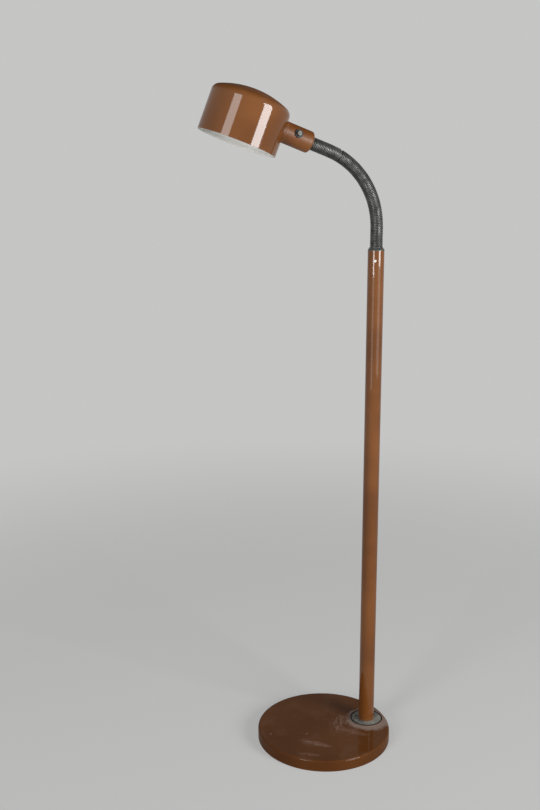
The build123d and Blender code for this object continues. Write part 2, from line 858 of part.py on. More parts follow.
def bulb_section(gap):
    # Half the section of the glass, this far inside its outer skin.
    neck = bulb_neck - gap
    globe = bulb_radius - gap
    curve = shoulder_radius + gap
    lean = degrees(asin(waist_to_globe / (globe + curve)))
    with BuildSketch(head_section) as half:
        with BuildLine():
            Line((0, cap_stop), (neck, cap_stop))
            Line((neck, cap_stop), (neck, bulb_waist))
            CenterArc((neck + curve, bulb_waist), curve, 180, -lean)
            CenterArc((0, globe_middle), globe, -lean, 90 + lean)
            Line((0, globe_middle + globe), (0, cap_stop))
        make_face()
    return half.sketch


with BuildPart() as bulb_glass:
    revolve(bulb_section(0), axis=head_axis)
    revolve(bulb_section(bulb_wall), axis=head_axis, mode=Mode.SUBTRACT)
bulb_glass.part.label = "bulb_glass"
export_step(bulb_glass.part, "parts/bulb_glass.step")


# Push switch in the collar: its button travels in a bushing through the wall.
collar_inside = collar_radius - collar_wall
switch_roof = sqrt(collar_inside**2 - (switch_box / 2) ** 2) - switch_room
switch_floor = switch_roof - switch_depth
bushing_top = collar_radius + bushing_stand
bezel_top = collar_radius + bezel_stand
button_top = collar_radius + button_stand
flange_bottom = switch_floor + switch_floor_wall + button_travel + button_play
flange_top = flange_bottom + button_flange_height
with BuildPart() as switch_body:
    with BuildSketch(switch_plane.offset(switch_floor)):
        RectangleRounded(switch_box, switch_box, radius=1)
    extrude(amount=switch_roof - switch_floor)
    with BuildSketch(switch_plane.offset(switch_roof)):
        Circle(bushing_radius)
    extrude(amount=bushing_top - switch_roof)
    with BuildSketch(switch_plane.offset(switch_floor + switch_floor_wall)):
        Circle(button_flange + button_room)
    extrude(
        amount=flange_top + button_room - switch_floor - switch_floor_wall, mode=Mode.SUBTRACT
    )
    with BuildSketch(switch_plane.offset(flange_top)):
        Circle(button_radius + button_gap)
    extrude(amount=bushing_top - flange_top, mode=Mode.SUBTRACT)
switch_body.part.label = "switch_body"
export_step(switch_body.part, "parts/switch_body.step")

with BuildPart() as switch_bezel:
    with BuildSketch(switch_plane.offset(collar_radius - collar_edge)):
        Circle(bezel_radius)
        Circle(bushing_radius + bezel_gap, mode=Mode.SUBTRACT)
    extrude(amount=bezel_top - collar_radius + collar_edge)
    top = switch_bezel.edges().sort_by(Axis(switch_middle, switch_way))[-2:]
    fillet(top.sort_by(SortBy.RADIUS)[-1], radius=(bezel_radius - bushing_radius) / 2)
    with BuildSketch(head_plane):
        Circle(collar_radius + seat_gap)
    extrude(amount=collar_length, mode=Mode.SUBTRACT)
switch_bezel.part.label = "switch_bezel"
export_step(switch_bezel.part, "parts/switch_bezel.step")

with BuildPart() as switch_button:
    with BuildSketch(switch_plane.offset(flange_bottom)):
        Circle(button_flange)
    extrude(amount=button_flange_height)
    with BuildSketch(switch_plane.offset(flange_bottom)):
        Circle(button_radius)
    extrude(amount=button_top - flange_bottom)
    rim = switch_button.edges().sort_by(Axis(switch_middle, switch_way))[-1]
    fillet(rim, radius=button_radius / 5)
switch_button.part.label = "switch_button"
export_step(switch_button.part, "parts/switch_button.step")
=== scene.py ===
import json
import math

import bpy
from mathutils import Matrix, Vector

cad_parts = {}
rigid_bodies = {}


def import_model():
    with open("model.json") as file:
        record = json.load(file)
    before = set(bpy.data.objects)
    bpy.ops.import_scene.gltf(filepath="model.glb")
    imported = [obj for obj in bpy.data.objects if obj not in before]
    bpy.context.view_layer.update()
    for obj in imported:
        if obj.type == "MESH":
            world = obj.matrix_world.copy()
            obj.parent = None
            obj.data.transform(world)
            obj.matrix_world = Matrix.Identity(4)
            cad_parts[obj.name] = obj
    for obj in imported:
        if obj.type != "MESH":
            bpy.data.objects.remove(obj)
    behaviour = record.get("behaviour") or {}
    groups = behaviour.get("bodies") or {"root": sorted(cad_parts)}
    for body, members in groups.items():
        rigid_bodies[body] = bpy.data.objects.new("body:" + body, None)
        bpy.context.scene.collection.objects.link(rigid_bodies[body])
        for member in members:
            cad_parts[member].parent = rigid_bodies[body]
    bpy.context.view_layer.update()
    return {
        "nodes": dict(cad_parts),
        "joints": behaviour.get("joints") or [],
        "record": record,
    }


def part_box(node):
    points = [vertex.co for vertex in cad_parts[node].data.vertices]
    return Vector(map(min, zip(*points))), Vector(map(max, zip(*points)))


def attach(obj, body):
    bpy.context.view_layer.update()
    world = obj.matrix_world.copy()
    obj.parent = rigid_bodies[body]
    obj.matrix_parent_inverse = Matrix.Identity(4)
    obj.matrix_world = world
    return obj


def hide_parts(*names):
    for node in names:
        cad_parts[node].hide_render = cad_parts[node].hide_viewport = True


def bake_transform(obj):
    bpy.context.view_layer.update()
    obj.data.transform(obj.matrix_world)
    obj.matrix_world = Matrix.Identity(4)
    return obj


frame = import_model()
nodes = frame["nodes"]
scene = bpy.context.scene
print("frame loaded with", len(nodes), "pieces")


# The lamp is seen from the front left and a little from above.
cameraView = {
    "turn": 17.23,  # degrees that it looks to the right of +Y
    "dip": 14.53,  # degrees below level
    "roll": 0.12,
    "back": 2.119,  # metres along the floor from the middle of the base
    "aside": -0.111,
    "height": 1.268,
    "lens": 50.0,
    "sensor": 36.0,
    "clip": (0.01, 100.0),
}


def placeCamera(view):
    turn, dip, roll = (math.radians(view[part]) for part in ("turn", "dip", "roll"))
    ahead = Vector((math.sin(turn), math.cos(turn), 0))
    side = Vector((math.cos(turn), -math.sin(turn), 0))
    look = ahead * math.cos(dip) - Vector((0, 0, math.sin(dip)))
    above = ahead * math.sin(dip) + Vector((0, 0, math.cos(dip)))
    right = side * math.cos(roll) - above * math.sin(roll)
    top = side * math.sin(roll) + above * math.cos(roll)
    camera = bpy.data.objects.new("camera", bpy.data.cameras.new("camera"))
    scene.collection.objects.link(camera)
    place = side * view["aside"] - ahead * view["back"] + Vector((0, 0, view["height"]))
    turned = Matrix((right, top, -look)).transposed().to_4x4()
    camera.matrix_world = Matrix.Translation(place) @ turned
    camera.data.lens = view["lens"]
    camera.data.sensor_width = view["sensor"]
    camera.data.clip_start, camera.data.clip_end = view["clip"]
    scene.camera = camera
    return ahead, side


ahead, side = placeCamera(cameraView)
print("camera placed")


# Small helpers for node trees
def put(tree, socket, value):
    if isinstance(value, bpy.types.NodeSocket):
        tree.links.new(value, socket)
    else:
        socket.default_value = value


def addNode(tree, kind, sockets=None, **settings):
    node = tree.nodes.new("ShaderNode" + kind)
    for name, value in settings.items():
        setattr(node, name, value)
    for name, value in (sockets or {}).items():
        put(tree, node.inputs[name], value)
    return node


def fillInTurn(tree, node, given):
    # For nodes that have several sockets of one name
    for socket, value in zip(node.inputs, given):
        put(tree, socket, value)
    return node.outputs


def maths(tree, operation, first, second):
    return fillInTurn(tree, addNode(tree, "Math", operation=operation), (first, second))[0]


def times(tree, first, second):
    return maths(tree, "MULTIPLY", first, second)


def larger(tree, first, second):
    return maths(tree, "MAXIMUM", first, second)


def vectorMaths(tree, operation, *given):
    return fillInTurn(tree, addNode(tree, "VectorMath", operation=operation), given)


def stretch(tree, value, low, high, toLow=0.0, toHigh=1.0, smooth=True):
    node = addNode(tree, "MapRange", interpolation_type="SMOOTHSTEP" if smooth else "LINEAR")
    return fillInTurn(tree, node, (value, low, high, toLow, toHigh))["Result"]


def blendColours(tree, mask, under, over):
    # The colour sockets of a Mix node come after those for numbers and vectors.
    node = addNode(tree, "Mix", data_type="RGBA")
    put(tree, node.inputs[0], mask)
    put(tree, node.inputs[6], under)
    put(tree, node.inputs[7], over)
    return node.outputs[2]


def mixShaders(tree, share, under, over):
    return fillInTurn(tree, addNode(tree, "MixShader"), (share, under, over))[0]


def noise(tree, place, scale, detail=3.0, roughness=0.5):
    sockets = {"Vector": place, "Scale": scale, "Detail": detail, "Roughness": roughness}
    return addNode(tree, "TexNoise", sockets).outputs["Fac"]


def placed(tree, middle=(0, 0, 0), turn=0.0, size=(1, 1, 1)):
    # The lamp's own coordinates, moved, turned about Z and divided by a size
    sockets = {
        "Vector": addNode(tree, "TexCoord").outputs["Object"],
        "Location": middle,
        "Rotation": (0, 0, math.radians(turn)),
        "Scale": size,
    }
    return addNode(tree, "Mapping", sockets, vector_type="TEXTURE").outputs["Vector"]


def distanceFrom(tree, middle, turn=0.0, size=(1, 1, 1)):
    # Distance from an upright line through a point, in sizes
    split = addNode(tree, "SeparateXYZ", {"Vector": placed(tree, middle, turn, size)}).outputs
    flat = addNode(tree, "CombineXYZ", {"X": split["X"], "Y": split["Y"]})
    return vectorMaths(tree, "LENGTH", flat.outputs[0])["Value"]


def upward(tree):
    # 1 where a surface faces up, 0 where it is upright
    normal = addNode(tree, "TexCoord").outputs["Normal"]
    return addNode(tree, "SeparateXYZ", {"Vector": normal}).outputs["Z"]


def seenFactor(tree):
    # 1 where the camera, a mirror or glass looks straight at this
    path = addNode(tree, "LightPath").outputs
    mirrored = larger(tree, path["Is Camera Ray"], path["Is Glossy Ray"])
    return larger(tree, mirrored, path["Is Transmission Ray"])


# Studio: two tall soft boxes that are dimmer low down, a dim high one and a pale floor
studio = {
    "pale": (0.56, 0.56, 0.555, 1),  # what the camera and mirrors see round the lamp
    "fill": 0.15,  # even light from all round
    "floorColour": (0.50, 0.50, 0.495, 1),
    "floorPatches": (0.58, 0.58, 0.57, 1),  # shows through very faintly
    "floorRings": (0.4, 1.2, 3.0, 6.0, 14.0),  # radii of its rings of faces
    "floorSteps": 96,
    "floorDrop": 0.0002,  # below the lamp's underside
    "floorFade": (0.7, 2.4),  # the floor melts into the pale room between these
    "floorGlow": 0.55,  # share of the floor's paleness that shadows don't reach
    "middle": (-0.03, 0.0),  # what the boxes stand round
    "away": 2.4,  # from there to each box
    "boxes": [  # degrees to the right of the camera, low and high edge, width, glow
        {"name": "boxRight", "turn": 50, "low": 0.68, "high": 1.75, "width": 1.05, "glow": 16.5},
        {"name": "boxRightLow", "turn": 50, "low": 0.23, "high": 0.68, "width": 1.45, "glow": 1.8},
        {"name": "boxLeft", "turn": -33, "low": 0.62, "high": 1.30, "width": 0.66, "glow": 15.0},
        {"name": "boxLeftLow", "turn": -33, "low": 0.14, "high": 0.62, "width": 1.00, "glow": 1.6},
        {"name": "boxHigh", "turn": -35, "low": 1.75, "high": 2.70, "width": 0.95, "glow": 6.0},
    ],
}


def addPanel(name, place, aim, width, height, glow):
    lamp = bpy.data.lights.new(name, "AREA")
    lamp.shape = "RECTANGLE"
    lamp.size, lamp.size_y = width, height
    lamp.energy = glow * width * height * math.pi
    panel = bpy.data.objects.new(name, lamp)
    panel.location = place
    panel.rotation_mode = "QUATERNION"
    panel.rotation_quaternion = (aim - place).to_track_quat("-Z", "Y")
    scene.collection.objects.link(panel)


def hangLights(plan):
    for box in plan["boxes"]:
        turn = math.radians(box["turn"])
        aim = Vector((*plan["middle"], (box["low"] + box["high"]) / 2))
        place = aim + (side * math.sin(turn) - ahead * math.cos(turn)) * plan["away"]
        addPanel(box["name"], place, aim, box["width"], box["high"] - box["low"], box["glow"])


def paintRoom(plan):
    room = bpy.data.worlds.new("paleRoom")
    scene.world = room
    room.use_nodes = True
    tree = room.node_tree
    tree.nodes.clear()
    even = addNode(tree, "Background", {"Color": (1, 1, 1, 1), "Strength": plan["fill"]})
    pale = addNode(tree, "Background", {"Color": plan["pale"], "Strength": 1.0})
    either = mixShaders(tree, seenFactor(tree), even.outputs[0], pale.outputs[0])
    addNode(tree, "OutputWorld", {"Surface": either})


def makePaleFloor(plan):
    material = bpy.data.materials.new("paleFloor")
    material.use_nodes = True
    tree = material.node_tree
    tree.nodes.clear()
    spot = addNode(tree, "TexCoord").outputs["Object"]
    patches = noise(tree, spot, 7.0, detail=4.0, roughness=0.6)
    grain = stretch(tree, patches, 0.3, 0.7, 0.985, 1.0)
    tinted = blendColours(tree, grain, plan["floorPatches"], plan["floorColour"])
    matt = addNode(tree, "BsdfDiffuse", {"Color": tinted, "Roughness": 0.6})
    glow = addNode(tree, "Emission", {"Color": plan["pale"], "Strength": 1.0})
    far = vectorMaths(tree, "LENGTH", spot)["Value"]
    share = stretch(tree, far, *plan["floorFade"], plan["floorGlow"], 1.0)
    seen = times(tree, share, seenFactor(tree))
    either = mixShaders(tree, seen, matt.outputs[0], glow.outputs[0])
    addNode(tree, "OutputMaterial", {"Surface": either})
    return material


def layFloor(plan):
    rings, steps, depth = plan["floorRings"], plan["floorSteps"], -plan["floorDrop"]
    corners, faces = [(0, 0, depth)], []
    for ring in rings:
        for step in range(steps):
            turn = step / steps * math.tau
            corners.append((ring * math.cos(turn), ring * math.sin(turn), depth))
    for step in range(steps):
        after = (step + 1) % steps
        faces.append((0, 1 + step, 1 + after))
        for ring in range(len(rings) - 1):
            near, far = 1 + ring * steps, 1 + (ring + 1) * steps
            faces.append((near + step, far + step, far + after, near + after))
    mesh = bpy.data.meshes.new("floor")
    mesh.from_pydata(corners, [], faces)
    mesh.materials.append(makePaleFloor(plan))
    floor = bpy.data.objects.new("floor", mesh)
    scene.collection.objects.link(floor)


hangLights(studio)
paintRoom(studio)
layFloor(studio)
scene.view_settings.view_transform = "Standard"
print("studio lit")


# Shared effects, each a node group with its own values wherever it is used
def startGroup(name, inputs, outputs):
    group = bpy.data.node_groups.new(name, "ShaderNodeTree")
    addSocket = group.interface.new_socket
    for title, value in inputs.items():
        socket = addSocket(name=title, in_out="INPUT", socket_type="NodeSocketFloat")
        socket.default_value = value
    for title in outputs:
        addSocket(name=title, in_out="OUTPUT", socket_type="NodeSocketFloat")
    taken = group.nodes.new("NodeGroupInput").outputs
    given = group.nodes.new("NodeGroupOutput").inputs
    return group, taken, given


def paintSkinGroup():
    # Sprayed paint: a fine peel, and a slow drift of its tone
    values = {"Peel": 300.0, "Drift": 14.0}
    group, taken, given = startGroup("paintSkin", values, ("Height", "Tone"))
    spot = placed(group)
    put(group, given["Height"], noise(group, spot, taken["Peel"], detail=2.0, roughness=0.45))
    put(group, given["Tone"], stretch(group, noise(group, spot, taken["Drift"]), 0.32, 0.68))
    return group


def dustFilmGroup():
    # Dust that has settled in patches on what faces up, in more of them with more cover
    group, taken, given = startGroup("dustFilm", {"Grain": 40.0, "Cover": 0.3}, ("Mask",))
    spot = addNode(group, "TexCoord").outputs["Object"]
    patches = noise(group, spot, taken["Grain"], detail=6.0, roughness=0.66)
    edge = maths(group, "SUBTRACT", 0.78, times(group, taken["Cover"], 0.5))
    patchy = stretch(group, patches, maths(group, "SUBTRACT", edge, 0.13), edge)
    settled = stretch(group, upward(group), 0.15, 0.95)
    put(group, given["Mask"], times(group, patchy, settled))
    return group


def speckGroup():
    # Small round chips in a share of the cells of a pattern
    group, taken, given = startGroup("specks", {"Scale": 90.0, "Share": 0.1}, ("Mask",))
    sockets = {"Vector": placed(group), "Scale": taken["Scale"], "Randomness": 1.0}
    cells = addNode(group, "TexVoronoi", sockets).outputs
    near = stretch(group, cells["Distance"], 0.10, 0.22, 1.0, 0.0)
    channels = addNode(group, "SeparateColor", {"Color": cells["Color"]})
    chosen = maths(group, "LESS_THAN", channels.outputs[0], taken["Share"])
    put(group, given["Mask"], times(group, near, chosen))
    return group


def metalGrainGroup():
    # Plated or drawn metal: fine grain, and cloudy patches where it was handled
    values = {"Grain": 900.0, "Cloud": 60.0}
    group, taken, given = startGroup("metalGrain", values, ("Height", "Tone"))
    spot = placed(group)
    put(group, given["Height"], noise(group, spot, taken["Grain"], roughness=0.6))
    clouds = noise(group, spot, taken["Cloud"], detail=4.0, roughness=0.6)
    put(group, given["Tone"], stretch(group, clouds, 0.3, 0.7))
    return group


paintSkin = paintSkinGroup()
dustFilm = dustFilmGroup()
specks = speckGroup()
metalGrain = metalGrainGroup()


def useGroup(tree, group, values):
    node = tree.nodes.new("ShaderNodeGroup")
    node.node_tree = group
    for name, value in values.items():
        node.inputs[name].default_value = value
    return node.outputs


def startMaterial(name, values=None):
    material = bpy.data.materials.new(name)
    material.use_nodes = True
    tree = material.node_tree
    tree.nodes.clear()
    shader = addNode(tree, "BsdfPrincipled", values)
    addNode(tree, "OutputMaterial", {"Surface": shader.outputs[0]})
    return material, tree, shader.inputs


def addRelief(tree, sockets, height, strength, depth=0.001):
    values = {"Height": height, "Strength": strength, "Distance": depth}
    put(tree, sockets["Normal"], addNode(tree, "Bump", values).outputs["Normal"])


# Enamel: the brown of the pole, collar and shade, the darker one of the base, and white
enamel = {
    "brown": {
        "dark": (0.128, 0.042, 0.009, 1), "light": (0.180, 0.063, 0.015, 1), "drift": 9.0,
        "roughness": 0.40, "dusty": 0.60,  # clean and under dust
        "gloss": 0.85, "dulled": 0.08,  # clear coat where it is upright and where it faces up
        "coatRoughness": 0.035, "relief": 0.006,
    },
    "base": {
        "dark": (0.086, 0.028, 0.006, 1), "light": (0.112, 0.039, 0.010, 1), "drift": 7.0,
        "roughness": 0.42, "dusty": 0.75,
        "gloss": 0.25, "dulled": 0.22,
        "coatRoughness": 0.045, "relief": 0.012,
    },
    "white": {"dark": (0.86, 0.85, 0.81, 1), "light": (0.92, 0.915, 0.89, 1)},
    "peel": 260.0,
    "dulls": (0.25, 0.75),  # how far paint faces up where its shine goes
    "dust": {"colour": (0.25, 0.20, 0.17, 1), "grain": 46.0, "cover": 0.22, "share": 0.35},
    "chip": {"colour": (0.30, 0.17, 0.10, 1), "scale": 55.0, "count": 0.035, "share": 0.4},
    "collarCoat": 0.42,  # roughness of the clear coat there
}


def startEnamel(name, coatRoughness):
    return startMaterial(name, {"Coat Roughness": coatRoughness, "Specular IOR Level": 0.0})


def enamelColours(tree, paint, drift):
    skin = useGroup(tree, paintSkin, {"Peel": enamel["peel"], "Drift": drift})
    return blendColours(tree, skin["Tone"], paint["dark"], paint["light"]), skin["Height"]


def enamelGloss(tree, sockets, dusty, paint):
    # The clear coat shines less where it faces up, and not at all under dust
    shine = stretch(tree, upward(tree), *enamel["dulls"], paint["gloss"], paint["dulled"])
    clean = stretch(tree, dusty, 0.0, 0.9, 1.0, 0.0, False)
    rough = stretch(tree, dusty, 0.0, 1.0, paint["roughness"], paint["dusty"], False)
    put(tree, sockets["Roughness"], rough)
    put(tree, sockets["Coat Weight"], times(tree, shine, clean))


def brownPaint(tree, dustShare):
    # Colour of the dusty and chipped brown enamel, its peel, and where it is dusty
    dust, chip = enamel["dust"], enamel["chip"]
    colour, peel = enamelColours(tree, enamel["brown"], enamel["brown"]["drift"])
    settled = useGroup(tree, dustFilm, {"Grain": dust["grain"], "Cover": dust["cover"]})["Mask"]
    chips = useGroup(tree, specks, {"Scale": chip["scale"], "Share": chip["count"]})["Mask"]
    dusty = times(tree, settled, dustShare)
    colour = blendColours(tree, dusty, colour, dust["colour"])
    colour = blendColours(tree, times(tree, chips, chip["share"]), colour, chip["colour"])
    return colour, peel, dusty


def makeBrownEnamel(name, coatRoughness):
    material, tree, sockets = startEnamel(name, coatRoughness)
    colour, peel, dusty = brownPaint(tree, enamel["dust"]["share"])
    put(tree, sockets["Base Color"], colour)
    enamelGloss(tree, sockets, dusty, enamel["brown"])
    addRelief(tree, sockets, peel, enamel["brown"]["relief"])
    return material


# The shade is brown outside and white inside.
shadePaint = {
    "waist": 0.45,  # how far up the shade the point lies that its inside faces
    "edge": (-0.02, 0.02),  # the paints meet where its faces turn from that point
    "coatRoughness": 0.07,
    "dustShare": 0.3,
    "whiteDrift": 20.0,
}


def makeShadeEnamel():
    material, tree, sockets = startEnamel("shadeEnamel", shadePaint["coatRoughness"])
    brown, peel, dusty = brownPaint(tree, shadePaint["dustShare"])
    white = enamelColours(tree, enamel["white"], shadePaint["whiteDrift"])[0]
    low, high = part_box("shade")
    heart = low.lerp(high, shadePaint["waist"])
    coordinates = addNode(tree, "TexCoord").outputs
    out = vectorMaths(tree, "SUBTRACT", coordinates["Object"], heart)["Vector"]
    facing = vectorMaths(tree, "DOT_PRODUCT", coordinates["Normal"], out)["Value"]
    inside = stretch(tree, facing, *shadePaint["edge"], 1.0, 0.0)
    put(tree, sockets["Base Color"], blendColours(tree, inside, brown, white))
    enamelGloss(tree, sockets, dusty, enamel["brown"])
    addRelief(tree, sockets, peel, enamel["brown"]["relief"])
    return material


# Marks on top of the base: a dusty ring round the foot, smears beside it and scuffs in front
baseMarks = {
    "top": (0.5, 0.95),  # how far a face looks up to count as the top
    "ringShift": (0.004, -0.005, 0),  # from the foot's middle
    "ringRadius": 0.0450,
    "ringSpread": 0.012,  # width in which it fades out
    "ringRagged": 0.4,  # share of that width by which its edge wanders
    "ringNoise": 55.0,
    "ringColour": (0.34, 0.27, 0.235, 1),
    "ringShare": 0.62,
    "scuffs": [  # middle, turn, half length and half width, strength
        {"middle": (-0.040, -0.062, 0), "turn": -36, "size": (0.042, 0.012, 1), "strength": 0.80},
        {"middle": (-0.066, -0.096, 0), "turn": -25, "size": (0.030, 0.008, 1), "strength": 0.50},
        {"middle": (0.034, -0.004, 0), "turn": 68, "size": (0.046, 0.026, 1), "strength": 0.50},
        {"middle": (0.048, -0.042, 0), "turn": -38, "size": (0.044, 0.014, 1), "strength": 0.50},
        {"middle": (-0.116, 0.0, 0), "turn": 0, "size": (0.0035, 0.0035, 1), "strength": 1.4},
        {"middle": (-0.045, -0.022, 0), "turn": 20, "size": (0.0050, 0.0026, 1), "strength": 1.4},
    ],
    "scuffColour": (0.27, 0.18, 0.14, 1),
    "scuffCore": 0.35,  # share of a scuff's size that is at full strength
    "streakWidth": 0.6,  # streaks in a scuff are narrower than the scuff
    "film": {"Grain": 28.0, "Cover": 0.30},
    "filmShare": 0.05,
    "chips": {"Scale": 42.0, "Share": 0.05},
    "chipShare": 0.08,
}


def footPlace():
    low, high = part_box("foot_flange")
    return (low + high) / 2


def scuffMask(tree, scuff):
    middle, turn, (length, width, height) = scuff["middle"], scuff["turn"], scuff["size"]
    away = distanceFrom(tree, middle, turn, scuff["size"])
    soft = stretch(tree, away, baseMarks["scuffCore"], 1.0, 1.0, 0.0)
    streaky = placed(tree, middle, turn, (length, width * baseMarks["streakWidth"], height))
    torn = stretch(tree, noise(tree, streaky, 2.2, detail=3.5, roughness=0.6), 0.38, 0.66)
    return times(tree, times(tree, soft, torn), scuff["strength"])


def ringMask(tree):
    radius, width = baseMarks["ringRadius"], baseMarks["ringSpread"]
    wander = noise(tree, placed(tree), baseMarks["ringNoise"], detail=4.0, roughness=0.6)
    ragged = stretch(tree, wander, 0.3, 0.7, -1.0, 1.0, False)
    away = distanceFrom(tree, footPlace() + Vector(baseMarks["ringShift"]))
    reach = maths(tree, "ADD", away, times(tree, ragged, width * baseMarks["ringRagged"]))
    return stretch(tree, reach, radius - width / 2, radius + width / 2, 1.0, 0.0)


def makeBaseEnamel():
    paint = enamel["base"]
    material, tree, sockets = startEnamel("baseEnamel", paint["coatRoughness"])
    colour, peel = enamelColours(tree, paint, paint["drift"])
    top = stretch(tree, upward(tree), *baseMarks["top"])
    smears = 0.0
    for scuff in baseMarks["scuffs"]:
        smears = larger(tree, smears, scuffMask(tree, scuff))
    smears = times(tree, smears, top)
    ring = times(tree, times(tree, ringMask(tree), top), baseMarks["ringShare"])
    film = times(tree, useGroup(tree, dustFilm, baseMarks["film"])["Mask"], baseMarks["filmShare"])
    chips = times(tree, useGroup(tree, specks, baseMarks["chips"])["Mask"], baseMarks["chipShare"])
    colour = blendColours(tree, film, colour, enamel["dust"]["colour"])
    colour = blendColours(tree, ring, colour, baseMarks["ringColour"])
    colour = blendColours(tree, smears, colour, baseMarks["scuffColour"])
    colour = blendColours(tree, chips, colour, enamel["chip"]["colour"])
    put(tree, sockets["Base Color"], colour)
    enamelGloss(tree, sockets, larger(tree, larger(tree, ring, smears), film), paint)
    addRelief(tree, sockets, peel, paint["relief"])
    return material


# Plated and drawn metals. Grain and cloud say how fine their patterns are.
metals = {
    "black_nickel": {
        "dark": (0.070, 0.071, 0.068, 1), "light": (0.155, 0.156, 0.150, 1),
        "roughness": 0.40, "grain": 700.0, "cloud": 70.0, "relief": 0.10,
    },
    "zinc_plate": {
        "dark": (0.46, 0.45, 0.41, 1), "light": (0.66, 0.65, 0.60, 1),
        "roughness": 0.36, "grain": 900.0, "cloud": 90.0, "relief": 0.10,
    },
    "steel_screw": {
        "dark": (0.70, 0.69, 0.66, 1), "light": (0.88, 0.87, 0.84, 1),
        "roughness": 0.38, "grain": 1500.0, "cloud": 200.0, "relief": 0.08,
    },
    "brass": {
        "dark": (0.52, 0.34, 0.12, 1), "light": (0.74, 0.54, 0.24, 1),
        "roughness": 0.30, "grain": 900.0, "cloud": 90.0, "relief": 0.08,
    },
    "solder": {
        "dark": (0.42, 0.42, 0.43, 1), "light": (0.60, 0.60, 0.61, 1),
        "roughness": 0.42, "grain": 500.0, "cloud": 150.0, "relief": 0.25,
    },
    "aluminium": {
        "dark": (0.66, 0.66, 0.66, 1), "light": (0.84, 0.84, 0.83, 1),
        "roughness": 0.28, "grain": 1100.0, "cloud": 90.0, "relief": 0.06,
    },
    "switch_metal": {
        "dark": (0.10, 0.10, 0.09, 1), "light": (0.19, 0.19, 0.175, 1),
        "roughness": 0.46, "grain": 1300.0, "cloud": 260.0, "relief": 0.10,
    },
}


def makeMetal(name, look):
    material, tree, sockets = startMaterial(name, {"Metallic": 1.0})
    grain = useGroup(tree, metalGrain, {"Grain": look["grain"], "Cloud": look["cloud"]})
    put(tree, sockets["Base Color"], blendColours(tree, grain["Tone"], look["dark"], look["light"]))
    tarnished, bright = look["roughness"] + 0.10, look["roughness"] - 0.04
    worn = stretch(tree, grain["Tone"], 0.0, 1.0, tarnished, bright, False)
    put(tree, sockets["Roughness"], worn)
    addRelief(tree, sockets, grain["Height"], look["relief"], 0.0003)
    return material


# Cast iron of the weight, and the rougher iron of the foot's flange, paler on one side in painted
# light and black at its rim in painted shade
irons = {
    "cast_iron": {
        "dark": (0.045, 0.044, 0.042, 1), "light": (0.11, 0.10, 0.095, 1),
        "lumps": 160.0, "relief": 0.5,
    },
    "rough_iron": {
        "dark": (0.040, 0.041, 0.036, 1), "light": (0.19, 0.185, 0.165, 1),
        "lumps": 420.0, "relief": 1.0,
        # painted light: colour of the flange's paler near right side
        "worn": (0.30, 0.29, 0.25, 1),
        "wornLean": 0.6,  # share of X against Y in the way that it gets paler
        "wornReach": 0.022,
        "wornShare": 0.55,
        # painted shade: the black of the gap round the flange's rim
        "dirt": (0.01, 0.01, 0.009, 1),
        "dirtShare": 0.9,
        "rim": 0.032,
        "rimShift": (0.0011, 0.0012, 0),
        "rimEdge": (0.0024, 0.0006),  # painted shade of the gap begins and is full this far inside the rim
    },
}


def makeIron(name, look):
    material, tree, sockets = startMaterial(name, {"Specular IOR Level": 0.3})
    spot = placed(tree)
    lumps = noise(tree, spot, look["lumps"], detail=6.0, roughness=0.62)
    broad = noise(tree, spot, look["lumps"] * 0.3, detail=4.0, roughness=0.6)
    blotches = stretch(tree, broad, 0.38, 0.62)
    mixed = maths(tree, "ADD", times(tree, lumps, 0.7), times(tree, blotches, 0.3))
    colour = blendColours(tree, stretch(tree, mixed, 0.25, 0.80), look["dark"], look["light"])
    if "worn" in look:
        colour = paintLightAndShadeOnFoot(tree, colour, look)
    put(tree, sockets["Base Color"], colour)
    put(tree, sockets["Roughness"], stretch(tree, lumps, 0.3, 0.7, 0.9, 0.62))
    addRelief(tree, sockets, lumps, look["relief"], 0.0015)
    return material


def paintLightAndShadeOnFoot(tree, colour, look):
    # Paler towards its near right side, a painted light, and black at its rim, a painted shade of
    # the gap round it
    foot = footPlace()
    split = addNode(tree, "SeparateXYZ", {"Vector": placed(tree, foot)}).outputs
    lean = maths(tree, "SUBTRACT", times(tree, split["X"], look["wornLean"]), split["Y"])
    # painted light, paler towards the near right
    paintedLightSide = stretch(tree, lean, 0.0, look["wornReach"])
    colour = blendColours(tree, times(tree, paintedLightSide, look["wornShare"]), colour, look["worn"])
    away = distanceFrom(tree, foot + Vector(look["rimShift"]))
    begins, full = (look["rim"] - inside for inside in look["rimEdge"])
    # painted shade of the gap, black towards the rim
    paintedGapShade = times(tree, stretch(tree, away, begins, full), look["dirtShare"])
    return blendColours(tree, paintedGapShade, colour, look["dirt"])


# Rubber, plastic and glazed pieces
moulded = {
    "black_rubber": {
        "dark": (0.012, 0.012, 0.012, 1), "light": (0.030, 0.029, 0.028, 1),
        "roughness": 0.62, "peel": 900.0,
    },
    "lead_jacket": {
        "dark": (0.52, 0.48, 0.40, 1), "light": (0.64, 0.60, 0.51, 1),
        "roughness": 0.48, "peel": 500.0,
    },
    "black_plastic": {
        "dark": (0.010, 0.010, 0.011, 1), "light": (0.022, 0.022, 0.023, 1),
        "roughness": 0.34, "peel": 1200.0,
    },
    "porcelain": {
        "dark": (0.74, 0.72, 0.66, 1), "light": (0.84, 0.83, 0.79, 1),
        "roughness": 0.16, "peel": 200.0,
    },
}


def makeMoulded(name, look):
    material, tree, sockets = startMaterial(name)
    skin = useGroup(tree, paintSkin, {"Peel": look["peel"], "Drift": 60.0})
    put(tree, sockets["Base Color"], blendColours(tree, skin["Tone"], look["dark"], look["light"]))
    smooth, rubbed = look["roughness"] - 0.05, look["roughness"] + 0.07
    put(tree, sockets["Roughness"], stretch(tree, skin["Tone"], 0.0, 1.0, smooth, rubbed, False))
    addRelief(tree, sockets, skin["Height"], 0.12, 0.0004)
    return material


